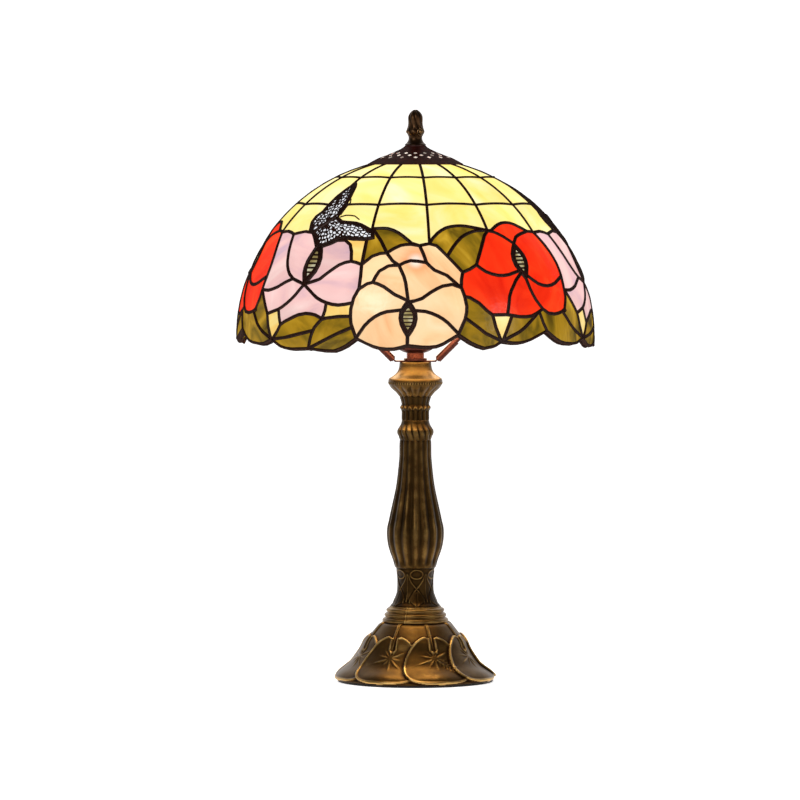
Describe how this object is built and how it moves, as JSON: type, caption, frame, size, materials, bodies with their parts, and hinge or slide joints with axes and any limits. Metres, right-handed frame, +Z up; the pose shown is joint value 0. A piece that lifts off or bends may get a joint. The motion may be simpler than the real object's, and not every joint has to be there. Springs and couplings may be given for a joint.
{
  "type": "table lamp",
  "caption": "Table lamp with a domed leaded-glass shade of lilies and butterflies on a harp above a cast bronze column with a lily-pad base.",
  "frame": {"origin": "centre of the base's underside, on the table", "axes": "+Z up the column; the front faces -Y"},
  "size_m": [0.3018, 0.3018, 0.4826],
  "materials": {
    "bronze_patina": "antique patina, dark in the hollows and gold on the edges",
    "cap_patina": "dark red-brown patina",
    "dark_metal": "dark bronze paint",
    "brass_trim": "satin",
    "copper_trim": "satin",
    "steel": "zinc plated",
    "felt": "felt",
    "fibreboard": "pressed board",
    "fibre_liner": "matt",
    "black_plastic": "matt",
    "white_porcelain": "glazed",
    "bulb_metal": "bright",
    "filament": "wire",
    "solder": "dark patinated solder",
    "yellow_glass": "streaky opalescent",
    "lavender_glass": "streaky opalescent",
    "peach_glass": "streaky opalescent",
    "red_glass": "streaky opalescent",
    "leaf_glass": "streaky opalescent",
    "amber_glass": "streaky opalescent",
    "ivory_glass": "opalescent",
    "bulb_glass": "frosted",
    "clear_glass": "clear"
  },
  "bodies": {
    "lamp": {"felt_pad": "felt", "base_board": "fibreboard", "base_casting": "bronze_patina", "cord_bushing": "black_plastic", "base_plate": "steel", "lamp_tube": "steel", "base_washer": "steel", "base_nut": "steel", "ring_band": "bronze_patina", "column_foot": "bronze_patina", "baluster_vase": "bronze_patina", "gadroon_collar": "bronze_patina", "column_neck": "bronze_patina", "top_cup": "bronze_patina", "harp_saddle": "dark_metal", "harp_loop": "dark_metal", "swivel_stud": "dark_metal", "check_ring": "dark_metal", "neck_spacer": "copper_trim", "socket_cap": "dark_metal", "socket_nut": "steel", "socket_shell": "dark_metal", "socket_liner": "fibre_liner", "socket_insulator": "white_porcelain", "screw_shell": "brass_trim", "centre_contact": "brass_trim"},
    "ferrule_left_body": {"ferrule_left": "dark_metal"},
    "ferrule_right_body": {"ferrule_right": "dark_metal"},
    "bulb_tip": {"bulb_contact": "steel", "bulb_insulator": "black_plastic"},
    "bulb": {"bulb_cap": "bulb_metal", "bulb_globe": "bulb_glass", "bulb_stem": "clear_glass", "filament_mount": "filament"},
    "shade_rest": {"shade_rest_washer": "brass_trim"},
    "shade": {"shade_collar": "brass_trim", "shade_spider": "brass_trim", "yellow_glass_upper": "yellow_glass", "yellow_glass_middle": "yellow_glass", "yellow_glass_lower": "yellow_glass", "lavender_petal_glass": "lavender_glass", "peach_petal_glass": "peach_glass", "red_petal_glass": "red_glass", "upper_leaf_glass": "leaf_glass", "lower_leaf_glass": "leaf_glass", "filler_glass": "amber_glass", "pistil_glass": "ivory_glass", "butterfly_glass": "ivory_glass", "solder_network": "solder", "butterfly_filigree": "solder", "butterfly_antennae": "solder", "pistil_filigree": "solder"},
    "cap": {"vented_cap": "cap_patina"},
    "finial_seat": {"finial_washer": "cap_patina"},
    "finial_body": {"finial": "cap_patina"}
  },
  "joints": [
    {"name": "ferrule_left_slide", "type": "slide", "parent": "lamp", "child": "ferrule_left_body", "axis": [-0.7071, 0, 0.7071], "range_m": [0, 0.01]},
    {"name": "ferrule_right_slide", "type": "slide", "parent": "lamp", "child": "ferrule_right_body", "axis": [0.7071, 0, 0.7071], "range_m": [0, 0.01]},
    {"name": "bulb_rise", "type": "slide", "parent": "lamp", "child": "bulb_tip", "axis": [0, 0, 1], "range_m": [0, 0.018]},
    {"name": "bulb_turn", "type": "hinge", "parent": "bulb_tip", "child": "bulb", "pos_m": [0, 0, 0.31], "axis": [0, 0, 1], "range_deg": [0, 1785]},
    {"name": "shade_lift", "type": "slide", "parent": "lamp", "child": "shade_rest", "axis": [0, 0, 1], "range_m": [0, 0.19]},
    {"name": "shade_swivel", "type": "hinge", "parent": "shade_rest", "child": "shade", "pos_m": [0, 0, 0.435], "axis": [0, 0, 1], "continuous": true},
    {"name": "cap_lift", "type": "slide", "parent": "shade", "child": "cap", "axis": [0, 0, 1], "range_m": [0, 0.04]},
    {"name": "finial_rise", "type": "slide", "parent": "cap", "child": "finial_seat", "axis": [0, 0, 1], "range_m": [0, 0.0076]},
    {"name": "finial_turn", "type": "hinge", "parent": "finial_seat", "child": "finial_body", "pos_m": [0, 0, 0.46], "axis": [0, 0, 1], "range_deg": [0, 2880]}
  ],
  "couplings": [
    {"joint": "bulb_rise", "follows": "bulb_turn", "m_per_rad": 0.00057758},
    {"joint": "finial_rise", "follows": "finial_turn", "m_per_rad": 0.00014972}
  ]
}
